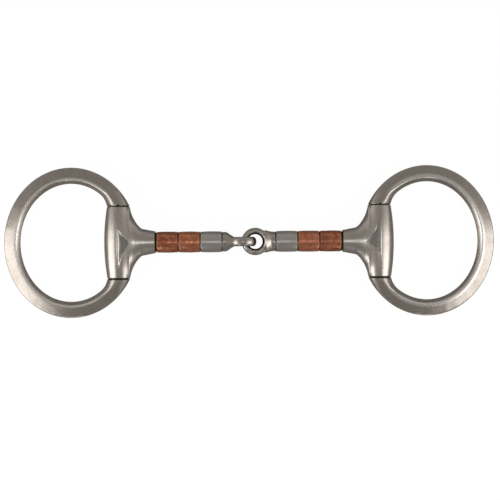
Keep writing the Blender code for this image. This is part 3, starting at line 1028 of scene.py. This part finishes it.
rollerSizes = {
    "boreRadius": 0.0033,
    "edge": 0.00055,
    "crown": 0.00014,
    "longer": 0.0001,  # at each end, so that only a hairline shows between two rollers
    "thicker": 0.00018,
    "hubRadius": 0.0051,  # of the low hub that closes the gap, painted dark as seam shade
    "hubLength": 0.00004,
    "collarHub": 0.00014,  # the one that faces the spindle's collar
    "lastHub": 0.0004,  # and the one that faces the shoulder
    "boreEdge": 0.0002,
    "unevenness": 0.000025,  # of a part that has been chewed
    "unevenScale": 420,
    "unevenApart": 9000,  # so that no two rollers are uneven alike
    "endHighlight": (0.8, 0.0007, 0.0004),  # the painted highlight line near each end: strength, place and half width
    "seamShadeAndGrimeSpread": (1.3, 0.0004),
    "crownSteps": 22,
    "steps": 96,
}
rollerLooks = {
    "steel_roller": "roller_steel",
    "copper_roller_inner": "roller_copper",
    "copper_roller_outer": "roller_copper",
}


def makeRoller(side, name, sizes, material):
    low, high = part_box(f"{side}_{name}")
    half, radius = (high.x - low.x) / 2 + sizes["longer"], (high.y - low.y) / 2 + sizes["thicker"]
    edge, boreEdge, bore = sizes["edge"], sizes["boreEdge"], sizes["boreRadius"]
    shoulder = radius - sizes["crown"] - edge
    profile = arcPoints((edge - half, shoulder), edge, 180, 90, 6)
    for along in np.linspace(edge - half, half - edge, sizes["crownSteps"])[1:-1]:
        profile.append((along, radius - sizes["crown"] * (along / (half - edge)) ** 2))
    profile += arcPoints((half - edge, shoulder), edge, 90, 0, 6)
    hub = sizes["hubRadius"]
    inner = sizes["collarHub"] if name.startswith("steel") else sizes["hubLength"]
    outer = sizes["lastHub"] if name.endswith("outer") else sizes["hubLength"]
    left, right = (outer, inner) if side == "left" else (inner, outer)
    profile += [(half, hub), (half + right, hub), (half + right, bore + boreEdge), (half - boreEdge, bore)]
    profile += [(boreEdge - half, bore), (-half - left, bore + boreEdge), (-half - left, hub), (-half, hub)]
    points, quads = turnedSkin(profile, sizes["steps"], True)
    centre = np.array([(low.x + high.x) / 2, 0, axisHeight])
    out = np.hypot(points[:, 1], points[:, 2])
    for i, point in enumerate(points):
        if out[i] > bore + 2 * boreEdge:
            where = Vector(point * sizes["unevenScale"]) + Vector((low.x * sizes["unevenApart"], 0, 0))
            points[i, 1:] *= 1 - sizes["unevenness"] * (1 + noise.noise(where)) / radius
    toEnd = half - np.abs(points[:, 0])
    # painted highlight lines near each roller end
    strength, place, halfWidth = sizes["endHighlight"]
    masks = {
        "ridge": strength * (1 - np.abs(toEnd - place) / halfWidth),
        # grime and painted seam shade at the roller ends, and the hubs painted dark
        "seam": shadeAndGrimeNear(toEnd, *sizes["seamShadeAndGrimeSpread"]),
    }
    roller = meshObject(f"{side}_{name}_fine", points + centre, quads, masks)
    finishPiece(roller, f"{side}_{name}", rollerLooks[name], material, sharp=50)


# cross pins

pinSizes = {
    "dome": 0.00012,
    "domeShape": ((0.2, 0.35), (0.6, 0.7)),  # (of the dome's height, of the radius)
    "edge": 0.0003,
    "rubWidth": 0.0003,
    "seamShadeAndGrimeSpread": (1, 0.0006),
    "steps": 48,
}


def makePin(side, sizes, material):
    low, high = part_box(f"{side}_cross_pin")
    radius, length = (high.x - low.x) / 2, high.z - low.z
    edge = sizes["edge"]
    profile = [(0, 0)] + [(sizes["dome"] * up, radius * out) for up, out in sizes["domeShape"]]
    profile += arcPoints((sizes["dome"] + edge, radius - edge), edge, 180, 90, 4)
    profile += [(length - edge, radius), (length, radius - edge), (length, 0)]
    points, quads = turnedSkin(profile, sizes["steps"], False)
    centre = np.array([(low.x + high.x) / 2, (low.y + high.y) / 2, low.z])
    masks = {
        "ridge": 1 - np.abs(points[:, 0] - sizes["dome"]) / sizes["rubWidth"],
        # grime and painted shade at the pin's domed end
        "seam": shadeAndGrimeNear(points[:, 0], *sizes["seamShadeAndGrimeSpread"]),
    }
    pin = meshObject(f"{side}_pin_fine", points[:, (1, 2, 0)] + centre, quads, masks)
    finishPiece(pin, f"{side}_cross_pin", "pin_steel", material)


# all of it

makeCamera(cameraSettings)
makeFloor(floorSettings)
makeWorld(worldSettings)
for panelName, panelSpec in panels.items():
    makePanel(panelName, panelSpec)
print("camera, floor and lights are in place")

makeGroups()
materials = {
    "ring": metalMaterial("satinRing", satinRing),
    "barrel": metalMaterial("satinBarrel", satinBarrel),
    "spindle": metalMaterial("satinSpindle", satinSpindle),
    "steel_roller": metalMaterial("rollerSteel", rollerSteel),
    "copper_roller_inner": metalMaterial("brightCopper", rollerCopper),
    "copper_roller_outer": metalMaterial("darkCopper", darkCopper),
    "pin": metalMaterial("pinSteel", pinSteel),
}
print("materials are made")

for side, sign in halves.items():
    makeRing(side, sign, {**ringSizes, **ringSides[side]}, materials["ring"])
    makeBarrel(side, sign, {**barrelSizes, **barrelSides[side]}, materials["barrel"])
    makeSpindle(side, sign, spindleSizes, materials["spindle"])
    for rollerName in rollerLooks:
        makeRoller(side, rollerName, rollerSizes, materials[rollerName])
    makePin(side, pinSizes, materials["pin"])
    print(f"the {side} half is made")
